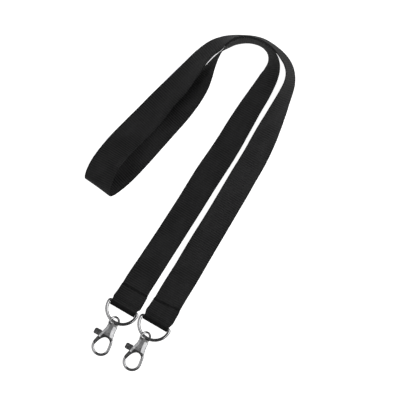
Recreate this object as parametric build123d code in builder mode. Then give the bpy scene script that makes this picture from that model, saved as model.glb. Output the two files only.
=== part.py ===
from build123d import *
from math import acos, asin, atan2, cos, degrees, radians, sin, sqrt
import os

# A narrow woven lanyard strap laid out on a table, with a sewn fold-back round a
# D-ring at each end, and a swivelling trigger snap hook on each D-ring.
# Frame: millimetres, +Z up, table at Z = 0, origin under the centre of the
# bounding box, strap ends running along +Y, hooks pointing to -Y.

# ---------------------------------------------------------------- dimensions
STRAP_WIDTH = 25.0
STRAP_THICK = 1.0
FOLD_TAIL = 25.0          # length of the folded-back lower ply
FOLD_END = 27.0           # where the sewn end hands over to the free strap
STITCH_PITCH = 2.2
STITCH_COUNT = 11
THREAD = 0.45

RING_WIRE = 2.8           # D-ring wire diameter
RING_HALF = 13.9          # half width and bow radius, on the wire centreline
RING_CORNER = 1.7
RING_DROP = 2.0           # from the bar centre to the centre of the bow
RING_TILT = 6.6           # bow raised off the table by the hook
RING_LIFT = 2.56          # height of the bar centre over the table

EYE_WIRE = 1.9
EYE_HALF = 5.0
EYE_TOP = 4.5
EYE_BOTTOM = -2.45
EYE_ROLL = 42.0
EYE_CORNER = 2.0
EYE_BASE = (-1.65, -3.4, 8.6, 4.0)   # top, bottom, width and thickness
SHANK_D = 2.2
SHANK_BORE = 2.3
SHANK_HEAD_D = 3.4
SHANK_HEAD_CAVITY = 4.0

HOOK_YAW = 1.8
HOOK_PITCH = 5.68
HOOK_WIRE = 2.5
BOW_RADIUS = 7.1
BOW_Y = -24.4
RIM_X, RIM_Y = 1.2, -19.2   # top of the bow, over the opening
RIM_RADIUS = 5.3
PIVOT = (-1.0, -10.2)
SLOT_HALF = 1.2
LEVER_HALF = 1.15
LEVER_HUB_R = 2.3
HUB_POCKET_R = 2.8
RIVET_D = 1.6
RIVET_BORE = 1.7
RIVET_HEAD_D = 2.5
RIVET_HEAD_H = 0.35
SPRING_R = 1.5
SPRING_WIRE = 0.4
SPRING_PITCH = 0.42

# Each end of the strap: reference point on the fold, how far the ring's bar lies
# inside the fold, the ring's middle across the strap, how far along the ring's
# bow the swivel eye hangs from the middle, the left and right edges of the
# closed fold, which stays between the ring's sides, and the seam: its distance
# from the fold and how many degrees it runs out of square.
ENDS = {
    "a": {"fold": (22.114, -112.204), "bar": 3.9, "ring_x": 21.264, "hang": -0.40,
          "fold_edges": (-13.1, 11.4), "seam": (21.5, 0.0)},
    "b": {"fold": (52.814, -108.804), "bar": 2.75, "ring_x": 52.464, "hang": -1.46,
          "fold_edges": (-12.6, 11.9), "seam": (21.0, 5.5)},
}
# The two plies spread beside the seam: distance from the fold, left edge, right edge.
SPREAD = [
    (8.5, -13.7, 13.1),
    (11.0, -13.5, 13.15),
    (14.0, -13.1, 13.1),
    (17.0, -12.95, 13.1),
    (20.6, -12.85, 12.95),
    (21.8, -12.5, 12.55),
    (27.0, -12.5, 12.5),
]

# Stations along the strap between the two folds: distance from fold A, the
# centre of the section, and the unit vector across the width.
STATIONS = [
    (27.0, 22.114, -85.204, 1.56, 1.000, 0.000, 0.000),
    (30.9, 22.264, -81.264, 1.50, 1.000, 0.000, 0.000),
    (41.4, 22.864, -69.934, 2.21, 0.990, -0.032, 0.135),
    (58.0, 23.674, -53.424, 3.43, 0.971, -0.048, 0.234),
    (74.5, 24.504, -36.854, 4.05, 0.958, -0.046, 0.284),
    (91.1, 25.154, -20.254, 4.28, 0.953, -0.041, 0.301),
    (107.6, 25.794, -3.654, 4.41, 0.949, -0.035, 0.312),
    (124.2, 26.194, 12.956, 4.38, 0.951, -0.035, 0.307),
    (140.7, 26.754, 29.556, 4.37, 0.956, -0.044, 0.290),
    (157.3, 27.734, 46.106, 4.85, 0.938, -0.049, 0.343),
    (173.9, 28.434, 62.666, 5.61, 0.912, -0.043, 0.407),
    (190.4, 28.484, 79.226, 6.62, 0.881, -0.041, 0.472),
    (207.0, 28.784, 95.756, 7.85, 0.829, -0.045, 0.557),
    (223.5, 29.504, 112.276, 9.17, 0.771, -0.024, 0.636),
    (231.8, 29.674, 120.506, 9.91, 0.722, 0.004, 0.692),
    (240.1, 29.654, 128.706, 10.66, 0.639, 0.044, 0.768),
    (248.4, 28.944, 136.666, 11.45, 0.494, 0.081, 0.866),
    (256.6, 26.164, 143.776, 12.26, 0.314, 0.085, 0.946),
    (264.9, 20.384, 148.786, 12.88, 0.173, 0.055, 0.983),
    (273.2, 12.594, 150.816, 13.25, 0.089, 0.040, 0.995),
    (281.5, 4.304, 150.046, 13.38, 0.032, 0.055, 0.998),
    (289.8, -3.536, 147.096, 13.38, -0.021, 0.078, 0.997),
    (298.0, -10.166, 142.226, 13.35, -0.045, 0.068, 0.997),
    (306.3, -14.856, 135.576, 13.33, -0.007, 0.013, 1.000),
    (314.6, -17.536, 127.856, 13.20, 0.077, -0.048, 0.996),
    (322.9, -18.706, 119.756, 12.81, 0.194, -0.094, 0.976),
    (331.2, -19.106, 111.756, 12.05, 0.358, -0.127, 0.925),
    (339.4, -19.306, 103.926, 10.87, 0.542, -0.148, 0.827),
    (347.7, -19.726, 96.126, 9.42, 0.694, -0.164, 0.701),
    (364.3, -21.806, 80.276, 6.57, 0.862, -0.195, 0.468),
    (380.8, -24.896, 64.276, 4.15, 0.934, -0.214, 0.285),
    (397.4, -28.666, 48.306, 2.18, 0.967, -0.217, 0.132),
    (413.9, -32.176, 32.156, 0.85, 0.977, -0.211, 0.028),
    (430.5, -35.416, 15.846, 0.65, 0.975, -0.221, -0.002),
    (438.8, -37.126, 7.716, 0.83, 0.973, -0.233, -0.002),
    (447.1, -38.986, -0.394, 0.90, 0.969, -0.249, -0.001),
    (455.3, -41.176, -8.464, 0.69, 0.964, -0.267, 0.000),
    (459.5, -42.496, -12.474, 0.53, 0.961, -0.275, -0.000),
    (463.6, -43.956, -16.474, 0.46, 0.960, -0.280, -0.001),
    (467.7, -45.536, -20.374, 0.66, 0.961, -0.276, -0.002),
    (471.9, -47.136, -24.004, 1.42, 0.966, -0.260, 0.000),
    (476.0, -48.706, -27.014, 2.98, 0.975, -0.223, 0.006),
    (480.2, -50.146, -28.964, 5.35, 0.987, -0.162, 0.011),
    (484.3, -51.406, -29.484, 8.28, 0.996, -0.084, 0.013),
    (488.4, -52.476, -28.454, 11.29, 1.000, -0.009, 0.013),
    (492.6, -53.396, -26.044, 13.87, 0.999, 0.043, 0.019),
    (496.7, -54.176, -22.644, 15.66, 0.997, 0.066, 0.040),
    (500.9, -54.796, -18.674, 16.57, 0.995, 0.065, 0.077),
    (505.0, -55.216, -14.474, 16.68, 0.991, 0.054, 0.122),
    (509.1, -55.356, -10.234, 16.17, 0.986, 0.039, 0.162),
    (513.3, -55.246, -6.064, 15.23, 0.982, 0.023, 0.190),
    (517.4, -54.926, -1.994, 14.02, 0.979, 0.004, 0.201),
    (521.6, -54.476, 2.006, 12.68, 0.980, -0.018, 0.201),
    (529.8, -53.286, 9.876, 9.99, 0.981, -0.063, 0.181),
    (538.1, -51.736, 17.766, 7.64, 0.981, -0.106, 0.162),
    (554.7, -47.826, 33.756, 4.49, 0.975, -0.169, 0.147),
    (571.2, -43.966, 49.956, 4.04, 0.947, -0.202, 0.250),
    (587.8, -40.706, 66.266, 5.73, 0.879, -0.226, 0.419),
    (604.3, -36.696, 82.606, 7.15, 0.831, -0.229, 0.508),
    (620.9, -33.566, 98.946, 8.92, 0.722, -0.234, 0.651),
    (637.5, -30.326, 115.186, 10.77, 0.572, -0.258, 0.779),
    (645.7, -27.836, 123.146, 11.46, 0.509, -0.271, 0.817),
    (654.0, -24.606, 130.766, 12.03, 0.412, -0.263, 0.872),
    (662.3, -20.556, 137.786, 12.49, 0.264, -0.212, 0.941),
    (670.6, -15.246, 143.886, 12.78, 0.126, -0.141, 0.982),
    (678.9, -8.616, 148.806, 12.91, 0.054, -0.106, 0.993),
    (687.1, -0.996, 152.326, 12.93, 0.031, -0.117, 0.993),
    (695.4, 7.164, 154.246, 12.91, 0.013, -0.131, 0.991),
    (703.7, 15.524, 154.346, 12.86, -0.014, -0.147, 0.989),
    (712.0, 23.834, 152.966, 12.84, -0.051, -0.180, 0.982),
    (720.3, 31.844, 150.646, 12.92, -0.095, -0.200, 0.975),
    (728.5, 38.984, 146.846, 13.01, -0.153, -0.205, 0.967),
    (736.8, 44.364, 141.006, 12.89, -0.226, -0.206, 0.952),
    (745.1, 47.624, 133.656, 12.49, -0.307, -0.195, 0.932),
    (753.4, 49.234, 125.686, 11.89, -0.395, -0.176, 0.901),
    (761.6, 50.184, 117.606, 11.24, -0.487, -0.159, 0.859),
    (769.9, 50.994, 109.526, 10.58, -0.572, -0.146, 0.807),
    (778.2, 51.714, 101.466, 9.82, -0.652, -0.135, 0.746),
    (786.5, 52.344, 93.406, 8.97, -0.727, -0.121, 0.676),
    (803.0, 53.594, 77.216, 7.44, -0.836, -0.087, 0.542),
    (819.6, 54.264, 60.856, 6.44, -0.881, -0.049, 0.470),
    (836.2, 54.154, 44.436, 5.79, -0.906, -0.024, 0.423),
    (852.7, 54.204, 27.996, 5.45, -0.919, -0.011, 0.394),
    (869.3, 54.114, 11.546, 5.34, -0.923, -0.004, 0.386),
    (885.8, 53.964, -4.894, 5.00, -0.933, -0.003, 0.360),
    (902.4, 53.664, -21.304, 4.24, -0.955, -0.000, 0.297),
    (918.9, 53.474, -37.724, 3.67, -0.969, -0.002, 0.249),
    (935.5, 53.474, -54.144, 3.12, -0.978, -0.002, 0.209),
    (959.3, 52.814, -78.524, 1.50, -1.000, 0.000, 0.000),
    (962.6, 52.814, -81.804, 1.56, -1.000, 0.000, 0.000),
]


def clear_of_table(row):
    """Centre and width vector of a station, lifted so no corner is below Z=0."""
    across = Vector(row[4], row[5], row[6]).normalized()
    normal_z = sqrt(max(0.0, 1 - across.Z**2))
    low = STRAP_WIDTH / 2 * abs(across.Z) + STRAP_THICK / 2 * normal_z
    return Vector(row[1], row[2], max(row[3], low + 0.01)), across


POINTS = [clear_of_table(row) for row in STATIONS]
# The first and last sections are exactly where the sewn ends stop.
POINTS[0] = (
    Vector(ENDS["a"]["fold"][0], ENDS["a"]["fold"][1] + FOLD_END, STRAP_THICK * 1.5 + 0.06),
    Vector(1, 0, 0),
)
POINTS[-1] = (
    Vector(ENDS["b"]["fold"][0], ENDS["b"]["fold"][1] + FOLD_END, STRAP_THICK * 1.5 + 0.06),
    Vector(-1, 0, 0),
)


def station_plane(i):
    centre, across = POINTS[i]
    if i == 0:
        along = Vector(0, 1, 0)
    elif i == len(POINTS) - 1:
        along = Vector(0, -1, 0)
    else:
        along = POINTS[i + 1][0] - POINTS[i - 1][0]
    along = (along - across * along.dot(across)).normalized()
    return Plane(origin=centre, x_dir=across, z_dir=along)


def export(part, name):
    part.label = name
    export_step(part, "parts/" + name + ".step")


os.makedirs("parts", exist_ok=True)

# ------------------------------------------------------------- strap webbing
# The strap is one length of webbing.  Its solid is cut into spans that meet
# face to face, each lofted through rectangular sections.
SPANS = {
    "webbing_leg_a": (0, 14),
    "webbing_arc_inner": (14, 28),
    "webbing_leg_under": (28, 38),
    "webbing_loop": (38, 55),
    "webbing_leg_over": (55, 60),
    "webbing_arc_outer": (60, 78),
    "webbing_leg_b": (78, 89),
}

for name, (first, last) in SPANS.items():
    with BuildPart() as webbing:
        for i in range(first, last + 1):
            with BuildSketch(station_plane(i)):
                Rectangle(STRAP_WIDTH, STRAP_THICK)
        loft(ruled=True)
    export(webbing.part, name)

# ---------------------------------------------- sewn ends, stitches, D-rings
ply_gap = 0.06
bar_r = RING_LIFT - STRAP_THICK / 2            # radius of the ply at the fold
top_ply = STRAP_THICK * 1.5 + ply_gap
drop = RING_LIFT + bar_r - top_ply
run = 8.0
turn = 2 * degrees(asin(drop / sqrt(drop**2 + run**2)))
bend = run / (2 * sin(radians(turn)))

for side, end in ENDS.items():
    fold_x, fold_y = end["fold"]
    crest = max(end["bar"], RING_LIFT + 0.05)   # where the top ply starts to fall

    # Cross-section along the strap, in Y and Z, measured from the fold.
    profile = Plane(
        origin=(fold_x - 15, fold_y, 0), x_dir=(0, 1, 0), z_dir=(1, 0, 0)
    )
    with BuildPart() as webbing_end:
        with BuildSketch(profile):
            with BuildLine():
                tail = Line((FOLD_TAIL, STRAP_THICK / 2), (RING_LIFT, STRAP_THICK / 2))
                fold = RadiusArc(
                    tail @ 1, (RING_LIFT, RING_LIFT + bar_r), bar_r, short_sagitta=True
                )
                over = Line(fold @ 1, (crest, RING_LIFT + bar_r))
                fall = TangentArc(
                    over @ 1, (crest + run / 2, RING_LIFT + bar_r - drop / 2),
                    tangent=(1, 0),
                )
                ease = TangentArc(
                    fall @ 1, (crest + run, top_ply), tangent=fall % 1
                )
                Line(ease @ 1, (FOLD_END, top_ply))
            trace(line_width=STRAP_THICK)
        extrude(amount=30)
        # Plan of the end: narrow between the ring's sides, then spreading.
        left, right = end["fold_edges"]
        narrow = end["bar"] + 2.15      # clear of the ring's sides as it swings
        with BuildSketch(Plane(origin=(fold_x, fold_y, -1))):
            Polygon(
                (left, -1), (right, -1), (right, narrow),
                *[(r, y) for y, l, r in SPREAD],
                *[(l, y) for y, l, r in reversed(SPREAD)],
                (left, narrow), align=None,
            )
        extrude(amount=8, mode=Mode.INTERSECT)
    export(webbing_end.part, "webbing_end_" + side)

    # Lockstitch row across both plies: proud runs on top, legs through, and a
    # continuous lower thread bedded in the bottom ply.
    seam_y, skew = end["seam"]
    seam = Plane(
        origin=(fold_x, fold_y + seam_y, 0),
        x_dir=(cos(radians(skew)), sin(radians(skew)), 0), z_dir=(0, 0, 1),
    )
    top = top_ply + STRAP_THICK / 2
    with BuildPart() as stitch_row:
        with BuildSketch(seam.offset(0.12)):
            Rectangle(STITCH_PITCH * STITCH_COUNT - 0.6, THREAD)
        extrude(amount=0.3)
        with BuildSketch(seam.offset(0.2)):
            with GridLocations(STITCH_PITCH, 1, STITCH_COUNT, 1):
                with Locations((-0.72, 0), (0.72, 0)):
                    Rectangle(0.4, THREAD)
        extrude(amount=top + 0.1 - 0.2)
        with BuildSketch(seam.offset(top - 0.08)):
            with GridLocations(STITCH_PITCH, 1, STITCH_COUNT, 1):
                RectangleRounded(1.84, THREAD, 0.18)
        extrude(amount=0.3)
    export(stitch_row.part, "stitch_row_" + side)

    # D-ring: straight bar through the fold, semicircular bow towards the hook.
    tilt = radians(RING_TILT)
    ring = Plane(
        origin=(end["ring_x"], fold_y + end["bar"], RING_LIFT),
        x_dir=(1, 0, 0),
        z_dir=(0, sin(tilt), cos(tilt)),
    )
    with BuildPart() as d_ring:
        with BuildLine(ring):
            bar = Line((-RING_HALF + RING_CORNER, 0), (RING_HALF - RING_CORNER, 0))
            RadiusArc(
                (RING_HALF - RING_CORNER, 0), (RING_HALF, -RING_CORNER), RING_CORNER
            )
            Line((RING_HALF, -RING_CORNER), (RING_HALF, -RING_DROP))
            ThreePointArc(
                (RING_HALF, -RING_DROP),
                (0, -RING_DROP - RING_HALF),
                (-RING_HALF, -RING_DROP),
            )
            Line((-RING_HALF, -RING_DROP), (-RING_HALF, -RING_CORNER))
            RadiusArc(
                (-RING_HALF, -RING_CORNER), (-RING_HALF + RING_CORNER, 0), RING_CORNER
            )
        with BuildSketch(Plane(origin=bar @ 0.5, z_dir=bar % 0.5)):
            Circle(RING_WIRE / 2)
        sweep()
    export(d_ring.part, "d_ring_" + side)

    # ------------------------------------------------------------ snap hook
    # Hook frame: origin on the ring wire where the eye hangs, -Y down the hook,
    # pitched so the hook's bow rests on the table.
    swing = asin(end["hang"] / RING_HALF)
    hang = ring.from_local_coords(
        Vector(RING_HALF * sin(swing), -RING_DROP - RING_HALF * cos(swing), 0)
    )
    yaw, pitch = radians(HOOK_YAW), radians(HOOK_PITCH)
    # Direction of local +Y: up the hook, from its bow to the ring.
    up = Vector(-sin(yaw) * cos(pitch), cos(yaw) * cos(pitch), sin(pitch))
    across = Vector(cos(yaw), sin(yaw), 0)
    hook = Plane(origin=hang, x_dir=across, z_dir=across.cross(up))

    def local(plane):
        """A plane of the hook's own frame, placed on the model."""
        return Plane(hook.location * plane.location)

    def section(y):
        """Plane across the hook at local Y = y; sketch axes are X and Z."""
        return local(Plane(origin=(0, y, 0), x_dir=(1, 0, 0), z_dir=(0, -1, 0)))

    # Swivel eye: rounded wire link round the D-ring on a flat base, with a shank
    # through the hook and a peened head.
    with BuildPart() as swivel_eye:
        roll = radians(EYE_ROLL)
        link = local(
            Plane(
                origin=(0, 0, 0),
                x_dir=(cos(roll), 0, -sin(roll)),
                z_dir=(sin(roll), 0, cos(roll)),
            )
        )
        shoulder = 1.0
        with BuildLine(link):
            foot = Line(
                (-EYE_HALF + EYE_CORNER, EYE_BOTTOM), (EYE_HALF - EYE_CORNER, EYE_BOTTOM)
            )
            RadiusArc(
                (EYE_HALF - EYE_CORNER, EYE_BOTTOM),
                (EYE_HALF, EYE_BOTTOM + EYE_CORNER),
                -EYE_CORNER,
            )
            Line((EYE_HALF, EYE_BOTTOM + EYE_CORNER), (EYE_HALF, 0.0))
            EllipticalCenterArc(
                (0, 0), EYE_HALF, EYE_TOP, start_angle=0, arc_size=180
            )
            Line((-EYE_HALF, 0.0), (-EYE_HALF, EYE_BOTTOM + EYE_CORNER))
            RadiusArc(
                (-EYE_HALF, EYE_BOTTOM + EYE_CORNER),
                (-EYE_HALF + EYE_CORNER, EYE_BOTTOM),
                -EYE_CORNER,
            )
        with BuildSketch(Plane(origin=foot @ 0.5, z_dir=foot % 0.5)):
            Circle(EYE_WIRE / 2)
        sweep()
        with BuildSketch(section(EYE_BASE[0])):
            RectangleRounded(EYE_BASE[2], EYE_BASE[3], 1.2)
        extrude(amount=EYE_BASE[0] - EYE_BASE[1])
        with BuildSketch(section(EYE_BOTTOM)):
            Circle(SHANK_D / 2)
        extrude(amount=3.5)
        with BuildSketch(section(-5.65)):
            Circle(SHANK_HEAD_D / 2)
        extrude(amount=0.8)
    export(swivel_eye.part, "swivel_eye_" + side)

    # Hook body: faceted cast shank with a gate slot, running into a round bow.
    BODY = [
        # y, left, right, half thickness, edge half thickness
        (-3.5, -4.0, 5.0, 2.2, 1.0),
        (-7.3, -4.05, 5.0, 2.5, 1.1),
        (-10.3, -5.05, 5.35, 2.5, 1.1),
        (-13.3, -6.0, 6.1, 2.35, 1.1),
        (-17.1, -7.0, 7.05, 1.7, 0.9),
        (-20.8, -7.8, 7.7, 1.2, 0.7),
    ]
    with BuildPart() as hook_body:
        for y, x_left, x_right, half, edge in BODY:
            with BuildSketch(section(y)) as outline:
                Polygon(
                    (x_left, -edge),
                    (x_left + 2.3, -half),
                    (x_right - 3.4, -half),
                    (x_right, -edge),
                    (x_right, edge),
                    (x_right - 3.4, half),
                    (x_left + 2.3, half),
                    (x_left, edge),
                    align=None,
                )
                flanks = outline.vertices().sort_by(Axis.X)
                fillet(flanks[:2] + flanks[-2:], edge * 0.85)
        loft(ruled=True)
        # Left cheek ends above the bow.
        with BuildSketch(hook.offset(-4)):
            with Locations((-6, -20.1)):
                Rectangle(12, 6)
        extrude(amount=8, mode=Mode.SUBTRACT)
        # Opening of the bow.
        with BuildSketch(hook.offset(-4)):
            with Locations((RIM_X, RIM_Y)):
                Circle(4.16)
            with Locations((0, BOW_Y)):
                Circle(5.9)
            make_hull()
        extrude(amount=8, mode=Mode.SUBTRACT)
        # Bow: one round wire, from over the gate arm round the top of the opening,
        # down the right side, round the bottom and up to the nose on the left.
        span_x, span_y = RIM_X, RIM_Y - BOW_Y
        lean = degrees(atan2(span_y, span_x)) - degrees(
            acos((BOW_RADIUS - RIM_RADIUS) / sqrt(span_x**2 + span_y**2))
        )
        with BuildLine(hook):
            rim = CenterArc(
                (RIM_X, RIM_Y), RIM_RADIUS, start_angle=150, arc_size=lean - 150
            )
            bow_start = (
                BOW_RADIUS * cos(radians(lean)), BOW_Y + BOW_RADIUS * sin(radians(lean))
            )
            Line(
                (RIM_X + RIM_RADIUS * cos(radians(lean)),
                 RIM_Y + RIM_RADIUS * sin(radians(lean))),
                bow_start,
            )
            CenterArc((0, BOW_Y), BOW_RADIUS, start_angle=lean, arc_size=-180 - lean)
            Line((-BOW_RADIUS, BOW_Y), (-BOW_RADIUS, BOW_Y + 1.5))
        with BuildSketch(Plane(origin=rim @ 0, z_dir=rim % 0)):
            Circle(HOOK_WIRE / 2)
        sweep()
        # Slanted face of the nose.
        with BuildSketch(hook.offset(-4)):
            Polygon(
                (-9.5, -23.45), (-5.2, -26.14), (-5.2, -21.3), (-9.5, -21.3), align=None
            )
        extrude(amount=8, mode=Mode.SUBTRACT)
        # Gate slot between the cheeks.
        with BuildSketch(hook.offset(-SLOT_HALF)):
            with Locations(PIVOT):
                Circle(HUB_POCKET_R)
            Polygon(
                (1.8, -10.2), (2.4, -15.8), (2.4, -18.8), (-9.0, -18.8),
                (-9.0, -10.8), (-3.8, -10.0), align=None,
            )
        extrude(amount=2 * SLOT_HALF, mode=Mode.SUBTRACT)
        # Swivel bore and the cavity for the peened head.
        with BuildSketch(section(-3.0)):
            Circle(SHANK_BORE / 2)
        extrude(amount=3.0, mode=Mode.SUBTRACT)
        with BuildSketch(section(-5.4)):
            Circle(SHANK_HEAD_CAVITY / 2)
        extrude(amount=1.6, mode=Mode.SUBTRACT)
        # Rivet hole through both cheeks.
        with BuildSketch(hook.offset(-4)):
            with Locations(PIVOT):
                Circle(RIVET_D / 2)
        extrude(amount=8, mode=Mode.SUBTRACT)
    export(hook_body.part, "hook_body_" + side)

    # Gate rivet with a flat head on each cheek.
    with BuildPart() as gate_rivet:
        with BuildSketch(hook.offset(-2.5)):
            with Locations(PIVOT):
                Circle(RIVET_D / 2)
        extrude(amount=5.0)
        for level in (-2.5 - RIVET_HEAD_H, 2.5):
            with BuildSketch(hook.offset(level)):
                with Locations(PIVOT):
                    Circle(RIVET_HEAD_D / 2)
            extrude(amount=RIVET_HEAD_H)
    export(gate_rivet.part, "gate_rivet_" + side)

    # Gate lever: thin hub on the rivet, curved gate arm and thumb tab.
    with BuildPart() as gate_lever:
        with BuildSketch(hook.offset(-LEVER_HALF)):
            with Locations(PIVOT):
                Circle(LEVER_HUB_R)
            Polygon(
                (PIVOT[0] + 1.6, PIVOT[1] - 1.6), (-1.9, -14.6), (-5.6, -14.2),
                (-5.6, -12.0), (PIVOT[0] - 1.0, PIVOT[1] + 2.05), align=None,
            )
        extrude(amount=1.2)
        with BuildSketch(hook.offset(-LEVER_HALF)):
            with BuildLine():
                Polyline(
                    (-5.4, -12.2), (-3.3, -13.7), (-2.1, -15.0), (-2.3, -16.6),
                    (-4.3, -20.0), (-5.3, -22.8), (-5.95, -25.3),
                )
                Line((-5.95, -25.3), (-8.4, -23.75))
                Polyline((-8.4, -23.75), (-8.2, -21.8), (-7.3, -18.2), (-6.4, -15.6),
                         (-6.6, -14.8), (-5.4, -12.2))
            make_face()
            with Locations((-8.6, -14.05)):
                RectangleRounded(6.8, 5.3, 1.3)
        extrude(amount=2 * LEVER_HALF)
        with BuildSketch(hook.offset(-LEVER_HALF)):
            with Locations(PIVOT):
                Circle(RIVET_BORE / 2)
        extrude(amount=1.2, mode=Mode.SUBTRACT)
    export(gate_lever.part, "gate_lever_" + side)

    # Gate spring: torsion coil round the rivet, its tail bedded on the slot wall.
    with BuildPart() as gate_spring:
        coil_plane = Plane(
            hook.location * Plane(origin=(PIVOT[0], PIVOT[1], 0.3)).location
        )
        with BuildLine(coil_plane):
            coil = Helix(pitch=SPRING_PITCH, height=SPRING_PITCH * 1.4, radius=SPRING_R)
        with BuildSketch(Plane(origin=coil @ 0, z_dir=coil % 0)):
            Circle(SPRING_WIRE / 2)
        sweep(is_frenet=True)
    export(gate_spring.part, "gate_spring_" + side)
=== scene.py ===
"""Woven neck lanyard, laid out on a pale studio floor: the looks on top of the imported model."""

import math
import random

import bmesh
import bpy
import numpy as np
from mathutils import Matrix, Vector


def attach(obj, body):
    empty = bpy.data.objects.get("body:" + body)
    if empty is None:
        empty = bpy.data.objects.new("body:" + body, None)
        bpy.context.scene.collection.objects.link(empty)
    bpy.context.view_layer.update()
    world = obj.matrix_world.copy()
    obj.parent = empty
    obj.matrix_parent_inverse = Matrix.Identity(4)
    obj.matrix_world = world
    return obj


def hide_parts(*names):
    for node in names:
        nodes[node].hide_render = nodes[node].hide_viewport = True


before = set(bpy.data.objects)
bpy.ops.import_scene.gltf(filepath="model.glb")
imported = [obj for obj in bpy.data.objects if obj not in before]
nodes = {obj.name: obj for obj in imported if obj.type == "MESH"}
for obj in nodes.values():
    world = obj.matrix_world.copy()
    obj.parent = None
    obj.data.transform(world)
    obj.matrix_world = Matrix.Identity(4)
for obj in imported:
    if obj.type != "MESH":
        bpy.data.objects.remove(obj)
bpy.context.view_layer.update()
scene = bpy.context.scene
MM = 0.001

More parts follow.
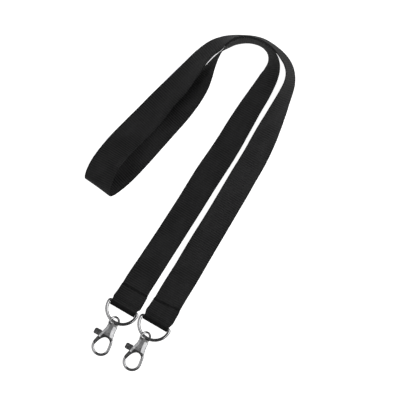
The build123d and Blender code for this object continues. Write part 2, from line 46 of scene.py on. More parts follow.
# --------------------------------------------------------------- strap route
# Distance from fold A, centre of the strap and unit vector across it, in mm.
STATIONS = [
    (27.0, 22.114, -85.204, 1.56, 1.000, 0.000, 0.000),
    (30.9, 22.264, -81.264, 1.50, 1.000, 0.000, 0.000),
    (41.4, 22.864, -69.934, 2.21, 0.990, -0.032, 0.135),
    (58.0, 23.674, -53.424, 3.43, 0.971, -0.048, 0.234),
    (74.5, 24.504, -36.854, 4.05, 0.958, -0.046, 0.284),
    (91.1, 25.154, -20.254, 4.28, 0.953, -0.041, 0.301),
    (107.6, 25.794, -3.654, 4.41, 0.949, -0.035, 0.312),
    (124.2, 26.194, 12.956, 4.38, 0.951, -0.035, 0.307),
    (140.7, 26.754, 29.556, 4.37, 0.956, -0.044, 0.290),
    (157.3, 27.734, 46.106, 4.85, 0.938, -0.049, 0.343),
    (173.9, 28.434, 62.666, 5.61, 0.912, -0.043, 0.407),
    (190.4, 28.484, 79.226, 6.62, 0.881, -0.041, 0.472),
    (207.0, 28.784, 95.756, 7.85, 0.829, -0.045, 0.557),
    (223.5, 29.504, 112.276, 9.17, 0.771, -0.024, 0.636),
    (231.8, 29.674, 120.506, 9.91, 0.722, 0.004, 0.692),
    (240.1, 29.464, 128.643, 10.495, 0.6542, 0.0490, 0.7548),
    (248.4, 28.623, 136.428, 11.235, 0.5196, 0.1000, 0.8485),
    (256.6, 25.841, 143.394, 12.107, 0.3397, 0.1155, 0.9334),
    (264.9, 20.271, 148.563, 12.845, 0.1821, 0.0729, 0.9806),
    (273.2, 12.594, 150.816, 13.25, 0.089, 0.040, 0.995),
    (281.5, 4.292, 150.246, 13.389, 0.0330, 0.0390, 0.9987),
    (289.8, -3.616, 147.307, 13.396, -0.0146, 0.0611, 0.9980),
    (298.0, -10.229, 142.304, 13.358, -0.0399, 0.0618, 0.9973),
    (306.3, -14.771, 135.523, 13.328, -0.0138, 0.0172, 0.9998),
    (314.6, -17.731, 127.902, 13.181, 0.0926, -0.0516, 0.9944),
    (322.9, -18.956, 119.738, 12.759, 0.2141, -0.0926, 0.9724),
    (331.2, -19.106, 111.756, 12.05, 0.358, -0.127, 0.925),
    (339.4, -19.306, 103.926, 10.87, 0.542, -0.148, 0.827),
    (347.7, -19.726, 96.126, 9.42, 0.694, -0.164, 0.701),
    (364.3, -21.806, 80.276, 6.57, 0.862, -0.195, 0.468),
    (380.8, -24.896, 64.276, 4.15, 0.934, -0.214, 0.285),
    (397.4, -28.666, 48.306, 2.18, 0.967, -0.217, 0.132),
    (413.9, -32.176, 32.156, 0.85, 0.977, -0.211, 0.028),
    (430.5, -35.416, 15.846, 0.65, 0.975, -0.221, -0.002),
    (438.8, -37.126, 7.716, 0.83, 0.973, -0.233, -0.002),
    (447.1, -38.986, -0.394, 0.90, 0.969, -0.249, -0.001),
    (455.3, -41.176, -8.464, 0.69, 0.964, -0.267, 0.000),
    (459.5, -42.496, -12.474, 0.53, 0.961, -0.275, -0.000),
    (463.6, -43.956, -16.474, 0.46, 0.960, -0.280, -0.001),
    (467.7, -45.536, -20.374, 0.66, 0.961, -0.276, -0.002),
    (471.9, -47.136, -24.004, 1.42, 0.966, -0.260, 0.000),
    (476.0, -48.706, -27.014, 2.98, 0.975, -0.223, 0.006),
    (480.2, -50.146, -28.964, 5.35, 0.987, -0.162, 0.011),
    (484.3, -51.406, -29.484, 8.28, 0.996, -0.084, 0.013),
    (488.4, -52.476, -28.454, 11.29, 1.000, -0.009, 0.013),
    (492.6, -53.396, -26.044, 13.87, 0.999, 0.043, 0.019),
    (496.7, -54.176, -22.644, 15.66, 0.997, 0.066, 0.040),
    (500.9, -54.796, -18.674, 16.57, 0.995, 0.065, 0.077),
    (505.0, -55.216, -14.474, 16.68, 0.991, 0.054, 0.122),
    (509.1, -55.356, -10.234, 16.17, 0.986, 0.039, 0.162),
    (513.3, -55.246, -6.064, 15.23, 0.982, 0.023, 0.190),
    (517.4, -54.926, -1.994, 14.02, 0.979, 0.004, 0.201),
    (521.6, -54.476, 2.006, 12.68, 0.980, -0.018, 0.201),
    (529.8, -53.286, 9.876, 9.99, 0.981, -0.063, 0.181),
    (538.1, -51.736, 17.766, 7.64, 0.981, -0.106, 0.162),
    (554.7, -47.826, 33.756, 4.49, 0.975, -0.169, 0.147),
    (571.2, -43.966, 49.956, 4.04, 0.947, -0.202, 0.250),
    (587.8, -40.706, 66.266, 5.73, 0.879, -0.226, 0.419),
    (604.3, -36.696, 82.606, 7.15, 0.831, -0.229, 0.508),
    (620.9, -33.566, 98.946, 8.92, 0.722, -0.234, 0.651),
    (637.5, -30.453, 115.183, 10.614, 0.5896, -0.2553, 0.7663),
    (645.7, -28.010, 123.173, 11.244, 0.5349, -0.2725, 0.7997),
    (654.0, -24.298, 130.716, 11.426, 0.4903, -0.2841, 0.8240),
    (662.3, -20.434, 137.717, 12.110, 0.3288, -0.2505, 0.9106),
    (670.6, -15.281, 143.915, 12.570, 0.1766, -0.1932, 0.9651),
    (678.9, -8.660, 148.891, 12.805, 0.0811, -0.1557, 0.9845),
    (687.1, -1.044, 152.562, 12.813, 0.0446, -0.1764, 0.9833),
    (695.4, 7.194, 154.772, 12.720, 0.0096, -0.2172, 0.9761),
    (703.7, 15.716, 154.953, 12.656, -0.0386, -0.2287, 0.9727),
    (712.0, 24.073, 153.360, 12.573, -0.0967, -0.2591, 0.9610),
    (720.3, 31.877, 150.670, 12.542, -0.1677, -0.2810, 0.9449),
    (728.5, 38.867, 146.752, 12.693, -0.2199, -0.2557, 0.9414),
    (736.8, 44.364, 141.006, 12.724, -0.2618, -0.2238, 0.9388),
    (745.1, 47.744, 133.692, 12.343, -0.3357, -0.2031, 0.9198),
    (753.4, 49.258, 125.694, 11.761, -0.4172, -0.1780, 0.8912),
    (761.6, 50.184, 117.606, 11.24, -0.487, -0.159, 0.859),
    (769.9, 50.994, 109.526, 10.58, -0.572, -0.146, 0.807),
    (778.2, 51.714, 101.466, 9.82, -0.652, -0.135, 0.746),
    (786.5, 52.344, 93.406, 8.97, -0.727, -0.121, 0.676),
    (803.0, 53.594, 77.216, 7.44, -0.836, -0.087, 0.542),
    (819.6, 54.264, 60.856, 6.44, -0.881, -0.049, 0.470),
    (836.2, 54.154, 44.436, 5.79, -0.906, -0.024, 0.423),
    (852.7, 54.204, 27.996, 5.45, -0.919, -0.011, 0.394),
    (869.3, 54.114, 11.546, 5.34, -0.923, -0.004, 0.386),
    (885.8, 53.964, -4.894, 5.00, -0.933, -0.003, 0.360),
    (902.4, 53.664, -21.304, 4.24, -0.955, -0.000, 0.297),
    (918.9, 53.474, -37.724, 3.67, -0.969, -0.002, 0.249),
    (935.5, 53.474, -54.144, 3.12, -0.978, -0.002, 0.209),
    (959.3, 52.814, -78.524, 1.50, -1.000, 0.000, 0.000),
    (962.6, 52.814, -81.804, 1.56, -1.000, 0.000, 0.000),
]
WIDTH = 25.0
THICK = 1.0
ENDS = {"a": (22.114, -112.204), "b": (52.814, -108.804)}
# How far the ring's bar lies inside the fold, and the edges of the closed fold.
BAR = {"a": 3.9, "b": 2.75}
FOLD_EDGES = {"a": (-13.1, 11.4), "b": (-12.6, 11.9)}
# The plies spread beside the seam: distance from the fold, left and right edge.
SPREAD = [
    (8.5, -13.7, 13.1),
    (11.0, -13.5, 13.15),
    (14.0, -13.1, 13.1),
    (17.0, -12.95, 13.1),
    (20.6, -12.85, 12.95),
    (21.8, -12.5, 12.55),
    (27.0, -12.5, 12.5),
]
# Seams: distance from the fold, and rise per millimetre to the right.
SEAM = {"a": (21.5, 0.0), "b": (21.0, 0.0963)}
RIB = 1.95
END_FLAT = 27.0


def clear_of_table(row):
    across = np.array(row[4:7], float)
    across /= np.linalg.norm(across)
    low = WIDTH / 2 * abs(across[2]) + THICK / 2 * math.sqrt(max(0.0, 1 - across[2] ** 2))
    return np.array([row[1], row[2], max(row[3], low + 0.01)]), across


def slopes(x, y, first, last):
    """Three-point slopes of y over x, with both end slopes given."""
    h = np.diff(x)[:, None]
    d = np.diff(y, axis=0) / h
    m = np.zeros_like(y)
    m[1:-1] = (h[1:] * d[:-1] + h[:-1] * d[1:]) / (h[1:] + h[:-1])
    m[0] = first if first is not None else d[0]
    m[-1] = last if last is not None else d[-1]
    return m


def hermite(x, y, m, at):
    i = np.clip(np.searchsorted(x, at, side="right") - 1, 0, len(x) - 2)
    h = (x[i + 1] - x[i])[:, None]
    t = ((at - x[i]) / (x[i + 1] - x[i]))[:, None]
    return (
        (2 * t**3 - 3 * t**2 + 1) * y[i]
        + (t**3 - 2 * t**2 + t) * h * m[i]
        + (-2 * t**3 + 3 * t**2) * y[i + 1]
        + (t**3 - t**2) * h * m[i + 1]
    )


def end_profile(side):
    """Side view of a sewn end, tail first: (distance along, y, z) from the fold."""
    lift = 2.56
    r = lift - THICK / 2
    top = THICK * 1.5 + 0.06
    crest = max(BAR[side], lift + 0.05)
    drop = lift + r - top
    run = 8.0
    turn = 2 * math.asin(drop / math.hypot(drop, run))
    bend = run / (2 * math.sin(turn))
    pts = [(y, THICK / 2) for y in np.arange(25.0, lift + 0.3, -0.5)]
    pts += [
        (lift - r * math.sin(a), lift - r * math.cos(a))
        for a in np.linspace(0, math.pi, 24)
    ]
    if crest - lift > 0.4:
        pts += [(y, lift + r) for y in np.arange(lift + 0.35, crest, 0.45)]
    a1 = (crest, lift + r)
    for a in np.linspace(0, turn, 11):
        pts.append((a1[0] + bend * math.sin(a), a1[1] - bend * (1 - math.cos(a))))
    a2 = (crest + run, top)
    for a in np.linspace(turn, 0, 11)[1:]:
        pts.append((a2[0] - bend * math.sin(a), a2[1] + bend * (1 - math.cos(a))))
    y = pts[-1][0]
    while y < END_FLAT - 0.75:
        y += 0.5
        pts.append((y, top))
    pts.append((END_FLAT, top))
    pts = np.array(pts)
    keep = np.concatenate([[True], np.hypot(*np.diff(pts, axis=0).T) > 0.02])
    pts = pts[keep]
    d = np.concatenate([[0], np.cumsum(np.hypot(*np.diff(pts, axis=0).T))])
    d += END_FLAT - d[-1]
    return np.column_stack([d, pts])


def end_edges(side, y):
    """Left and right edges of a sewn end at distance y from the fold."""
    rows = [(0.0, *FOLD_EDGES[side]), (BAR[side] + 2.15, *FOLD_EDGES[side])] + SPREAD
    at = [r[0] for r in rows]
    return (
        float(np.interp(y, at, [r[1] for r in rows])),
        float(np.interp(y, at, [r[2] for r in rows])),
    )


def route():
    """Dense rows along the whole strap: distance, centre, across."""
    rows = [clear_of_table(r) for r in STATIONS]
    s = np.array([r[0] for r in STATIONS])
    c = np.array([r[0] for r in rows])
    w = np.array([r[1] for r in rows])
    total = s[-1] + s[0]
    at = np.arange(s[0], s[-1], 0.5)[1:]
    cc = hermite(s, c, slopes(s, c, (0, 1, 0), (0, -1, 0)), at)
    ww = hermite(s, w, slopes(s, w, (0, 0, 0), (0, 0, 0)), at)
    out = []
    edges = []
    fx, fy = ENDS["a"]
    for d, y, z in end_profile("a"):
        out.append((d, fx, fy + y, z, 1, 0, 0))
        edges.append(end_edges("a", y))
    for d, p, q in zip(at, cc, ww):
        out.append((d, *p, *q))
        edges.append((-WIDTH / 2, WIDTH / 2))
    fx, fy = ENDS["b"]
    for d, y, z in end_profile("b")[::-1]:
        out.append((total - d, fx, fy + y, z, -1, 0, 0))
        low, high = end_edges("b", y)
        edges.append((-high, -low))
    return np.array(out), np.array(edges), total


ROWS, EDGES, TOTAL = route()


def wave(seed, x, length, octaves=3):
    """Smooth one-dimensional noise in -1..1 over x, without any random state."""
    rng = random.Random(seed)
    v = np.zeros_like(x)
    amp = 1.0
    norm = 0.0
    for _ in range(octaves):
        for _ in range(3):
            f = rng.uniform(0.6, 1.6) / length
            v += amp * np.sin(2 * np.pi * f * x + rng.uniform(0, 6.28))
            norm += amp * 0.7
        amp *= 0.5
        length *= 0.45
    return v / norm


def build_strap():
    s = ROWS[:, 0]
    c = ROWS[:, 1:4].copy()
    w = ROWS[:, 4:7]
    w = w / np.linalg.norm(w, axis=1)[:, None]
    t = np.gradient(c, axis=0)
    t /= np.linalg.norm(t, axis=1)[:, None]
    t -= (t * w).sum(1)[:, None] * w
    t /= np.linalg.norm(t, axis=1)[:, None]
    n = np.cross(w, t)

    free = np.clip((s - 30) / 25, 0, 1) * np.clip((TOTAL - s - 30) / 25, 0, 1)
    n_rows = len(s)
    # Across the strap: face points with pressed, slightly rounded selvedges.
    half = WIDTH / 2
    grid = np.concatenate(
        [
            [-half, -half + 0.12, -half + 0.4, -half + 0.9, -half + 1.3],
            np.linspace(-half + 2.0, half - 2.0, 16),
            [half - 1.3, half - 0.9, half - 0.4, half - 0.12, half],
        ]
    )
    depth = np.full(len(grid), THICK / 2)
    edge = half - np.abs(grid)
    depth[edge < 0.05] = 0.20
    depth[(edge > 0.05) & (edge < 0.2)] = 0.37
    depth[(edge > 0.2) & (edge < 0.6)] = 0.49
    depth[(edge > 1.2) & (edge < 1.5)] = 0.455
    m = len(grid)

    left = 0.05 * wave(3, s, 5) + 0.05 * np.sin(2 * np.pi * s / RIB) * (0.6 + 0.4 * wave(9, s, 9))
    right = 0.05 * wave(4, s, 5) + 0.05 * np.sin(2 * np.pi * s / RIB + 1) * (0.6 + 0.4 * wave(8, s, 9))
    sag = free * 0.10 * wave(11, s, 55)
    roll = free * 0.06 * wave(12, s, 34)
    verts = np.zeros((n_rows, 2 * m, 3))
    for side in (0, 1):
        for j in range(m):
            g = grid[j]
            u = EDGES[:, 0] + (g + half) / WIDTH * (EDGES[:, 1] - EDGES[:, 0])
            u = u + (left if g < 0 else right) * np.clip((abs(g) - half + 1.4) / 1.4, 0, 1) * (-1 if g < 0 else 1)
            puff = free * 0.05 * wave(20 + j // 3, s, 18)
            h = (sag + roll * g / half + puff)
            dent = np.zeros_like(s)
            for centre, rise, phase in (
                (SEAM["a"][0], SEAM["a"][1], 0.3), (TOTAL - SEAM["b"][0], SEAM["b"][1], 1.9),
            ):
                line = centre + rise * g + 0.12 * math.sin(2 * math.pi * g / 9.0 + phase)
                dent += 0.22 * np.exp(-(((s - line) / 0.7) ** 2))
            d = depth[j]
            if side == 0:
                off = h + d - dent
            else:
                off = h - d
            lift = c + w * u[:, None] + n * off[:, None]
            verts[:, j if side == 0 else 2 * m - 1 - j, :] = lift
    verts[:, :, 2] = np.maximum(verts[:, :, 2], 0.004)
    verts = verts.reshape(-1, 3) * MM
    ring = 2 * m
    faces = []
    uvs = []
    us = np.concatenate([grid, grid[::-1]])
    side_of = np.array([0] * m + [1] * m)
    for i in range(n_rows - 1):
        for j in range(ring):
            k = (j + 1) % ring
            faces.append((i * ring + j, i * ring + k, (i + 1) * ring + k, (i + 1) * ring + j))
            # The joining faces at the selvedges keep the side of their first point.
            f = float(side_of[j])
            uvs.append((s[i], us[j], s[i + 1], us[k], f))
    mesh = bpy.data.meshes.new("strap")
    mesh.from_pydata(verts.tolist(), [], faces)
    caps = bmesh.new()
    caps.from_mesh(mesh)
    caps.verts.ensure_lookup_table()
    for i, flip in ((0, True), (n_rows - 1, False)):
        loop = [caps.verts[i * ring + j] for j in range(ring)]
        if flip:
            loop.reverse()
        half_n = len(loop) // 2
        for j in range(half_n - 1):
            a, b = loop[j], loop[j + 1]
            cc, dd = loop[-2 - j], loop[-1 - j]
            caps.faces.new((a, b, cc, dd))
    bmesh.ops.recalc_face_normals(caps, faces=caps.faces)
    caps.to_mesh(mesh)
    caps.free()
    layer = mesh.uv_layers.new(name="UVMap")
    data = np.zeros((len(mesh.loops), 2), np.float32)
    vi = np.zeros(len(mesh.loops), np.int32)
    mesh.loops.foreach_get("vertex_index", vi)
    row = vi // ring
    col = vi % ring
    data[:, 0] = s[row] / 1000
    # Side is stored per face: the whole face takes the side of most of its corners.
    starts = np.zeros(len(mesh.polygons), np.int32)
    mesh.polygons.foreach_get("loop_start", starts)
    counts = np.zeros(len(mesh.polygons), np.int32)
    mesh.polygons.foreach_get("loop_total", counts)
    face_of = np.repeat(np.arange(len(counts)), counts)
    side_sum = np.zeros(len(counts))
    np.add.at(side_sum, face_of, side_of[col])
    face_side = (side_sum / counts > 0.5).astype(float)
    data[:, 1] = us[col] / 1000 + face_side[face_of]
    layer.data.foreach_set("uv", data.ravel())
    for p in mesh.polygons:
        p.use_smooth = True
    obj = bpy.data.objects.new("strap_webbing", mesh)
    scene.collection.objects.link(obj)
    return obj


# ------------------------------------------------------------------ materials
def new_material(name):
    mat = bpy.data.materials.new(name)
    mat.use_nodes = True
    tree = mat.node_tree
    tree.nodes.clear()
    return mat, tree


class Net:
    """Short names for making and joining shader nodes."""

    def __init__(self, tree):
        self.t = tree

    def node(self, kind, **props):
        n = self.t.nodes.new(kind)
        for k, v in props.items():
            setattr(n, k, v)
        return n

    def link(self, a, b):
        self.t.links.new(a, b)

    def put(self, socket, value):
        if hasattr(value, "is_linked"):
            self.link(value, socket)
        else:
            socket.default_value = value

    def math(self, op, a, b=0.0, clamp=False):
        n = self.node("ShaderNodeMath", operation=op, use_clamp=clamp)
        self.put(n.inputs[0], a)
        self.put(n.inputs[1], b)
        return n.outputs[0]

    def vmath(self, op, a, b=(0, 0, 0)):
        n = self.node("ShaderNodeVectorMath", operation=op)
        self.put(n.inputs[0], a)
        self.put(n.inputs[1], b)
        return n.outputs["Value"] if op in ("DOT_PRODUCT", "LENGTH") else n.outputs[0]

    def ramp(self, v, lo, hi, to_lo=0.0, to_hi=1.0, smooth=True):
        n = self.node("ShaderNodeMapRange")
        n.interpolation_type = "SMOOTHSTEP" if smooth else "LINEAR"
        self.put(n.inputs["Value"], v)
        n.inputs["From Min"].default_value = lo
        n.inputs["From Max"].default_value = hi
        n.inputs["To Min"].default_value = to_lo
        n.inputs["To Max"].default_value = to_hi
        return n.outputs[0]

    def noise(self, vec, scale, detail=2.0, rough=0.5):
        n = self.node("ShaderNodeTexNoise")
        self.link(vec, n.inputs["Vector"])
        n.inputs["Scale"].default_value = scale
        n.inputs["Detail"].default_value = detail
        n.inputs["Roughness"].default_value = rough
        return n.outputs["Fac"] if "Fac" in n.outputs else n.outputs[0]

    def combine(self, x, y, z=0.0):
        n = self.node("ShaderNodeCombineXYZ")
        self.put(n.inputs[0], x)
        self.put(n.inputs[1], y)
        self.put(n.inputs[2], z)
        return n.outputs[0]

    def mix(self, f, a, b):
        n = self.node("ShaderNodeMix", data_type="RGBA")
        self.put(n.inputs[0], f)
        self.put(n.inputs[6], a)
        self.put(n.inputs[7], b)
        return n.outputs[2]

    def bump(self, height, distance, strength=1.0, normal=None):
        n = self.node("ShaderNodeBump")
        n.inputs["Strength"].default_value = strength
        n.inputs["Distance"].default_value = distance
        self.link(height, n.inputs["Height"])
        if normal is not None:
            self.link(normal, n.inputs["Normal"])
        return n.outputs[0]


def webbing_material():
    mat, tree = new_material("webbing_black")
    k = Net(tree)
    out = k.node("ShaderNodeOutputMaterial")
    bsdf = k.node("ShaderNodeBsdfPrincipled")
    k.link(bsdf.outputs[0], out.inputs[0])
    uv = k.node("ShaderNodeUVMap", uv_map="UVMap")
    sep = k.node("ShaderNodeSeparateXYZ")
    k.link(uv.outputs[0], sep.inputs[0])
    s = k.math("MULTIPLY", sep.outputs[0], 1000.0)
    reverse = k.math("GREATER_THAN", sep.outputs[1], 0.5)
    u = k.math("MULTIPLY", k.math("SUBTRACT", sep.outputs[1], reverse), 1000.0)
    flat = k.combine(s, u)
    # Each weft rib wanders a little across the strap.
    drift = k.noise(k.combine(k.math("MULTIPLY", s, 0.25), k.math("MULTIPLY", u, 0.16)), 1.0, 1.0)
    s_w = k.math("ADD", s, k.math("MULTIPLY", k.math("SUBTRACT", drift, 0.5), 0.7))
    turn = k.math("MULTIPLY", s_w, 2 * math.pi / RIB)
    rib = k.math("MULTIPLY_ADD", k.math("COSINE", turn), 0.5)
    tree.nodes[-1].inputs[2].default_value = 0.5
    # Yarns: fine streaks across each rib, broken along it.
    yarn = k.noise(k.combine(k.math("MULTIPLY", s, 1.4), k.math("MULTIPLY", u, 2.6), reverse), 1.0, 3.0, 0.6)
    warp = k.math("MULTIPLY_ADD", k.math("SINE", k.math("MULTIPLY", u, 2 * math.pi / 0.62)), 0.5)
    tree.nodes[-1].inputs[2].default_value = 0.5
    cloud = k.noise(k.combine(k.math("MULTIPLY", s, 0.055), k.math("MULTIPLY", u, 0.10), reverse), 1.0, 3.0, 0.55)
    speck = k.noise(k.combine(k.math("MULTIPLY", s, 0.5), k.math("MULTIPLY", u, 0.45), reverse), 1.0, 2.0, 0.6)
    near_edge = k.ramp(k.math("ABSOLUTE", u), 11.0, 11.35)
    groove = k.math("MULTIPLY", near_edge, k.ramp(k.math("ABSOLUTE", u), 11.7, 11.4))
    # Painted shade along each seam: a dark wavy line in the colour where the strap is pulled down into a groove
    # between the stitches.
    line_a = k.math("ADD", SEAM["a"][0], k.math("MULTIPLY", u, SEAM["a"][1]))
    line_b = k.math("ADD", TOTAL - SEAM["b"][0], k.math("MULTIPLY", u, SEAM["b"][1]))
    wobble = k.math("MULTIPLY", k.math("SUBTRACT", k.noise(k.combine(k.math("MULTIPLY", u, 0.35), 0.0), 1.0, 1.0), 0.5), 1.2)
    s_line = k.math("ADD", s, wobble)
    seam_shade_a = k.ramp(k.math("ABSOLUTE", k.math("SUBTRACT", s_line, line_a)), 0.5, 1.3, 1.0, 0.0)
    seam_shade_b = k.ramp(k.math("ABSOLUTE", k.math("SUBTRACT", s_line, line_b)), 0.5, 1.3, 1.0, 0.0)
    seam = k.math("MAXIMUM", seam_shade_a, seam_shade_b)
    # Painted shade at each fold, where the strap wraps round the ring's bar.
    fold_shade_a = k.ramp(s, 4.0, 2.2)
    fold_shade_b = k.ramp(s, TOTAL - 4.0, TOTAL - 2.2)
    fold = k.math("MAXIMUM", fold_shade_a, fold_shade_b)
    patch = k.noise(k.combine(k.math("MULTIPLY", s, 0.035), k.math("MULTIPLY", u, 0.06), reverse), 1.0, 2.0)
    # Painted shade in the grooves between the ribs, deeper on the reverse face and varied in patches; yarn, cloud
    # and speck are the yarn's own uneven tone.
    depth = k.math("MULTIPLY_ADD", reverse, 0.20)
    tree.nodes[-1].inputs[2].default_value = 0.62
    depth = k.math("MULTIPLY", depth, k.ramp(patch, 0.35, 0.65, 0.45, 1.15))
    tone_and_painted_shade = k.math("SUBTRACT", 1.0, k.math("MULTIPLY", k.math("SUBTRACT", 1.0, rib), depth))
    tone_and_painted_shade = k.math("MULTIPLY", tone_and_painted_shade, k.ramp(yarn, 0.2, 0.8, 0.75, 1.2, False))
    tone_and_painted_shade = k.math("MULTIPLY", tone_and_painted_shade, k.ramp(cloud, 0.3, 0.7, 0.82, 1.18, False))
    tone_and_painted_shade = k.math("MULTIPLY", tone_and_painted_shade, k.ramp(speck, 0.3, 0.7, 0.88, 1.12, False))
    # Painted shade in the groove along each selvedge.
    tone_and_painted_shade = k.math("MULTIPLY", tone_and_painted_shade, k.math("SUBTRACT", 1.0, k.math("MULTIPLY", groove, 0.25)))
    tone_and_painted_shade = k.math("MULTIPLY", tone_and_painted_shade, k.math("SUBTRACT", 1.0, k.math("MULTIPLY", seam, 0.75)))
    tone_and_painted_shade = k.math("MULTIPLY", tone_and_painted_shade, k.math("SUBTRACT", 1.0, k.math("MULTIPLY", fold, 0.80)))
    base = k.node("ShaderNodeMix", data_type="RGBA", blend_type="MULTIPLY")
    base.inputs[0].default_value = 1.0
    base.inputs[6].default_value = (0.0318, 0.0318, 0.0326, 1)
    k.link(k.combine(tone_and_painted_shade, tone_and_painted_shade, tone_and_painted_shade), base.inputs[7])
    k.link(base.outputs[2], bsdf.inputs["Base Color"])
    k.link(k.ramp(cloud, 0.3, 0.7, 0.58, 0.70, False), bsdf.inputs["Roughness"])
    bsdf.inputs["Specular IOR Level"].default_value = 0.22
    bsdf.inputs["Sheen Weight"].default_value = 0.06
    bsdf.inputs["Sheen Roughness"].default_value = 0.4
    height = k.math("MULTIPLY", rib, k.math("MULTIPLY_ADD", reverse, 0.25))
    tree.nodes[-2].inputs[2].default_value = 0.55
    height = k.math("ADD", height, k.math("MULTIPLY", yarn, 0.5))
    height = k.math("ADD", height, k.math("MULTIPLY", warp, 0.12))
    height = k.math("SUBTRACT", height, k.math("MULTIPLY", groove, 0.8))
    k.link(k.bump(height, 0.00018, 0.9), bsdf.inputs["Normal"])
    return mat


def thread_material():
    mat, tree = new_material("thread_black")
    k = Net(tree)
    out = k.node("ShaderNodeOutputMaterial")
    bsdf = k.node("ShaderNodeBsdfPrincipled")
    k.link(bsdf.outputs[0], out.inputs[0])
    uv = k.node("ShaderNodeTexCoord")
    n = k.noise(k.vmath("MULTIPLY", uv.outputs["Object"], (2500, 6000, 2500)), 1.0, 2.0)
    k.link(k.mix(n, (0.006, 0.006, 0.007, 1), (0.014, 0.014, 0.015, 1)), bsdf.inputs["Base Color"])
    bsdf.inputs["Roughness"].default_value = 0.5
    bsdf.inputs["Specular IOR Level"].default_value = 0.3
    k.link(k.bump(n, 0.00005, 0.6), bsdf.inputs["Normal"])
    return mat


def metal_material(name, tone, rough, ripple=0.00004, ridges=None):
    """Bright nickel plate: slow casting ripple, fine polish marks, faint tarnish."""
    mat, tree = new_material(name)
    k = Net(tree)
    out = k.node("ShaderNodeOutputMaterial")
    bsdf = k.node("ShaderNodeBsdfPrincipled")
    k.link(bsdf.outputs[0], out.inputs[0])
    co = k.node("ShaderNodeTexCoord").outputs["Object"]
    slow = k.noise(co, 260.0, 2.0)
    fine = k.noise(co, 2600.0, 3.0, 0.6)
    polish = k.noise(k.vmath("MULTIPLY", co, (900, 5200, 900)), 1.0, 2.0)
    dark = tuple(v * 0.86 for v in tone) + (1,)
    k.link(k.mix(k.ramp(slow, 0.35, 0.7), tone + (1,), dark), bsdf.inputs["Base Color"])
    bsdf.inputs["Metallic"].default_value = 1.0
    bsdf.inputs["Specular Tint"].default_value = (0.12, 0.12, 0.12, 1)
    r = k.ramp(fine, 0.3, 0.8, rough * 0.8, rough * 1.4, False)
    r = k.math("ADD", r, k.ramp(polish, 0.5, 0.8, 0.0, 0.05))
    k.link(r, bsdf.inputs["Roughness"])
    normal = k.bump(slow, ripple * 2.5, 0.5)
    normal = k.bump(fine, ripple * 0.35, 0.35, normal)
    if ridges:
        sep = k.node("ShaderNodeSeparateXYZ")
        k.link(co, sep.inputs[0])
        w = k.math("SINE", k.math("MULTIPLY", sep.outputs[ridges[0]], 2 * math.pi / ridges[1]))
        normal = k.bump(w, ridges[2], 0.8, normal)
    k.link(normal, bsdf.inputs["Normal"])
    return mat


def floor_material():
    mat, tree = new_material("floor_pale")
    k = Net(tree)
    out = k.node("ShaderNodeOutputMaterial")
    bsdf = k.node("ShaderNodeBsdfPrincipled")
    k.link(bsdf.outputs[0], out.inputs[0])
    co = k.node("ShaderNodeTexCoord").outputs["Object"]
    n = k.noise(co, 1.5, 2.0)
    k.link(k.mix(n, (0.93, 0.93, 0.93, 1), (0.95, 0.95, 0.95, 1)), bsdf.inputs["Base Color"])
    bsdf.inputs["Roughness"].default_value = 0.65
    bsdf.inputs["Specular IOR Level"].default_value = 0.2
    bsdf.inputs["Emission Color"].default_value = (1, 1, 1, 1)
    bsdf.inputs["Emission Strength"].default_value = 1.0
    return mat


def dress(obj, mat):
    obj.data.materials.clear()
    obj.data.materials.append(mat)


# --------------------------------------------------------------------- pieces
webbing = webbing_material()
thread = thread_material()
strap = build_strap()
dress(strap, webbing)
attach(strap, "strap")
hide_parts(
    "webbing_end_a", "webbing_leg_a", "webbing_arc_inner", "webbing_leg_under",
    "webbing_loop", "webbing_leg_over", "webbing_arc_outer", "webbing_leg_b",
    "webbing_end_b",
)


def build_stitches(side):
    """A row of lockstitches: each a short twisted thread bedding into the strap."""
    fx, fy = ENDS[side]
    top = THICK * 2 + 0.06
    bm = bmesh.new()
    rng = random.Random(5 if side == "a" else 6)
    for i in range(11):
        x0 = fx + (i - 5) * 2.2 + rng.uniform(-0.05, 0.05)
        y0 = fy + SEAM[side][0] + SEAM[side][1] * (x0 - fx) + 0.12 * math.sin(2 * math.pi * (x0 - fx) / 9.0 + (0.3 if side == "a" else 1.9))
        slant = rng.uniform(-0.05, 0.05)
        rings = []
        steps = 17
        for a in range(steps):
            q = -1 + 2 * a / (steps - 1)
            x = x0 + 0.98 * q
            rise = 0.30 * math.sqrt(max(0.0, 1 - q**4))
            z = top - 0.34 + rise
            ring = []
            for b in range(10):
                ang = 2 * math.pi * b / 10
                twist = 0.03 * math.cos(2 * ang - a * 1.3)
                r = (0.19 + twist) * (1 - 0.35 * abs(q) ** 6)
                ring.append(
                    bm.verts.new(
                        (
                            x * MM,
                            (y0 + (slant + SEAM[side][1]) * q + r * math.cos(ang)) * MM,
                            (z + r * math.sin(ang)) * MM,
                        )
                    )
                )
            rings.append(ring)
        for ra, rb in zip(rings, rings[1:]):
            for b in range(10):
                bm.faces.new((ra[b], ra[(b + 1) % 10], rb[(b + 1) % 10], rb[b]))
        bm.faces.new(rings[0])
        bm.faces.new(rings[-1][::-1])
    bmesh.ops.recalc_face_normals(bm, faces=bm.faces)
    mesh = bpy.data.meshes.new("stitches_" + side)
    bm.to_mesh(mesh)
    bm.free()
    for p in mesh.polygons:
        p.use_smooth = True
    obj = bpy.data.objects.new("stitches_" + side, mesh)
    scene.collection.objects.link(obj)
    dress(obj, thread)
    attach(obj, "strap")
    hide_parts("stitch_row_" + side)
    return obj


stitches = [build_stitches("a"), build_stitches("b")]

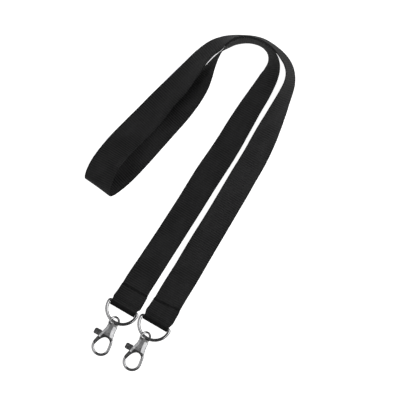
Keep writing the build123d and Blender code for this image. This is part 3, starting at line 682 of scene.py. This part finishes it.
ring_metal = metal_material("nickel_wire", (0.62, 0.62, 0.63), 0.10)
eye_metal = metal_material("nickel_eye", (0.66, 0.66, 0.66), 0.10)
cast_metal = metal_material("nickel_cast", (0.66, 0.66, 0.67), 0.12, 0.00006)
gate_metal = metal_material("nickel_gate", (0.50, 0.50, 0.51), 0.20, 0.00006, (1, 0.0009, 0.00006))
rivet_metal = metal_material("nickel_rivet", (0.70, 0.70, 0.70), 0.12)
spring_metal = metal_material("spring_steel", (0.45, 0.44, 0.43), 0.25)


def round_edges(obj, width, angle=28):
    """Softens the hard edges for the highlights; the mesh itself is untouched."""
    mod = obj.modifiers.new("edge_round", "BEVEL")
    mod.width = width
    mod.segments = 3
    mod.limit_method = "ANGLE"
    mod.angle_limit = math.radians(angle)
    mod.harden_normals = False
    for p in obj.data.polygons:
        p.use_smooth = True


for side in "ab":
    dress(nodes["d_ring_" + side], ring_metal)
    dress(nodes["swivel_eye_" + side], eye_metal)
    dress(nodes["hook_body_" + side], cast_metal)
    dress(nodes["gate_lever_" + side], gate_metal)
    round_edges(nodes["hook_body_" + side], 0.00045, 35)
    round_edges(nodes["gate_lever_" + side], 0.0007)
    round_edges(nodes["gate_rivet_" + side], 0.0001)
    dress(nodes["gate_rivet_" + side], rivet_metal)
    dress(nodes["gate_spring_" + side], spring_metal)

# ------------------------------------------------------------ floor and light
# The floor is one large pale sheet.
mesh = bpy.data.meshes.new("floor")
size = 6.0
mesh.from_pydata(
    [(-size, -size, -0.00002), (size, -size, -0.00002), (size, size, -0.00002), (-size, size, -0.00002)],
    [], [(0, 1, 2, 3)],
)
floor = bpy.data.objects.new("floor", mesh)
scene.collection.objects.link(floor)
dress(floor, floor_material())
# The bright sheet lights the picture's background, but the polished metal
# reflects the darker room instead of it.
floor.visible_glossy = False

# Horizontal directions of the picture: right and up.
PIC_RIGHT = (0.8634, 0.5045, 0.0)
PIC_UP = (-0.5045, 0.8634, 0.0)


def studio_world():
    """Softboxes to the right and left, dark overhead and fore and aft."""
    world = bpy.data.worlds.new("studio")
    scene.world = world
    world.use_nodes = True
    tree = world.node_tree
    tree.nodes.clear()
    k = Net(tree)
    out = k.node("ShaderNodeOutputWorld")
    back = k.node("ShaderNodeBackground")
    k.link(back.outputs[0], out.inputs[0])
    d = k.vmath("NORMALIZE", k.node("ShaderNodeTexCoord").outputs["Generated"])
    a = k.vmath("DOT_PRODUCT", d, PIC_RIGHT)
    b = k.vmath("DOT_PRODUCT", d, PIC_UP)
    z = k.vmath("DOT_PRODUCT", d, (0, 0, 1))
    across = k.math("ABSOLUTE", b)
    right = k.math("MULTIPLY", k.ramp(a, 0.42, 0.50), k.ramp(across, 0.62, 0.45))
    right = k.math("MULTIPLY", right, k.ramp(z, 0.40, 0.48))
    bar = k.math("MULTIPLY", k.ramp(a, 0.68, 0.71), k.ramp(a, 0.79, 0.76))
    right = k.math("MULTIPLY", right, k.math("SUBTRACT", 1.0, k.math("MULTIPLY", bar, 0.75)))
    # A grey patch in the right box, which the hooks' right flanks reflect.
    fx = k.math("SUBTRACT", a, 0.59)
    fy = k.math("ADD", b, 0.31)
    flag = k.math("SQRT", k.math("ADD", k.math("MULTIPLY", fx, fx), k.math("MULTIPLY", fy, fy)))
    right = k.math("MULTIPLY", right, k.math("SUBTRACT", 1.0, k.math("MULTIPLY", k.ramp(flag, 0.17, 0.11), 0.64)))
    left = k.math("MULTIPLY", k.ramp(a, -0.42, -0.52), k.ramp(across, 0.66, 0.50))
    left = k.math("MULTIPLY", left, k.ramp(z, 0.20, 0.30))
    bar = k.math("MULTIPLY", k.ramp(a, -0.70, -0.73), k.ramp(a, -0.84, -0.80))
    left = k.math("MULTIPLY", left, k.math("SUBTRACT", 1.0, k.math("MULTIPLY", bar, 0.7)))
    # A small panel overhead, ahead of the lens, that the sloping hooks pick up.
    ox = k.math("SUBTRACT", a, -0.11)
    oy = k.math("SUBTRACT", b, -0.09)
    over = k.math("SQRT", k.math("ADD", k.math("MULTIPLY", ox, ox), k.math("MULTIPLY", oy, oy)))
    over = k.math("MULTIPLY", k.ramp(over, 0.20, 0.12), k.ramp(z, 0.8, 0.9))
    level = k.math("MULTIPLY", right, 2.6)
    level = k.math("ADD", level, k.math("MULTIPLY", left, k.ramp(a, -0.80, -0.86, 1.15, 0.75)))
    level = k.math("ADD", level, k.math("MULTIPLY", over, 0.26))
    level = k.math("ADD", level, k.ramp(z, 0.80, 0.93, 0.07, 0.03))
    # Below the horizon: a pale rim close to it, then dark.
    rim = k.math("MULTIPLY", k.ramp(z, -0.10, -0.18), k.ramp(z, -0.46, -0.36))
    low = k.math("ADD", 0.10, k.math("MULTIPLY", rim, 0.38))
    above = k.ramp(z, -0.04, 0.04)
    level = k.math("ADD", k.math("MULTIPLY", level, above), k.math("MULTIPLY", k.math("SUBTRACT", 1.0, above), low))
    k.link(level, back.inputs["Strength"])
    back.inputs["Color"].default_value = (1, 1, 1, 1)


studio_world()

# --------------------------------------------------------------------- camera
camera_data = bpy.data.cameras.new("camera")
camera = bpy.data.objects.new("camera", camera_data)
scene.collection.objects.link(camera)
scene.camera = camera
DISTANCE = 2.5
SPAN = 0.3508
camera_data.sensor_width = 36.0
camera_data.lens = 36.0 * DISTANCE / SPAN
camera_data.clip_start = 0.05
camera_data.clip_end = 50.0
camera_data.dof.use_dof = False
target = Vector((0.031378, 0.006214, 0.0))
elev = math.radians(85.0)
level_up = Vector(PIC_UP).normalized()
back_axis = -level_up * math.cos(elev) + Vector((0, 0, 1)) * math.sin(elev)
up_axis = level_up * math.sin(elev) + Vector((0, 0, 1)) * math.cos(elev)
right_axis = up_axis.cross(back_axis)
m = Matrix((right_axis, up_axis, back_axis)).transposed().to_4x4()
m.translation = target + back_axis * DISTANCE
camera.matrix_world = m

scene.view_settings.view_transform = "Standard"
scene.view_settings.look = "None"
scene.view_settings.exposure = 0.0
scene.view_settings.gamma = 1.0
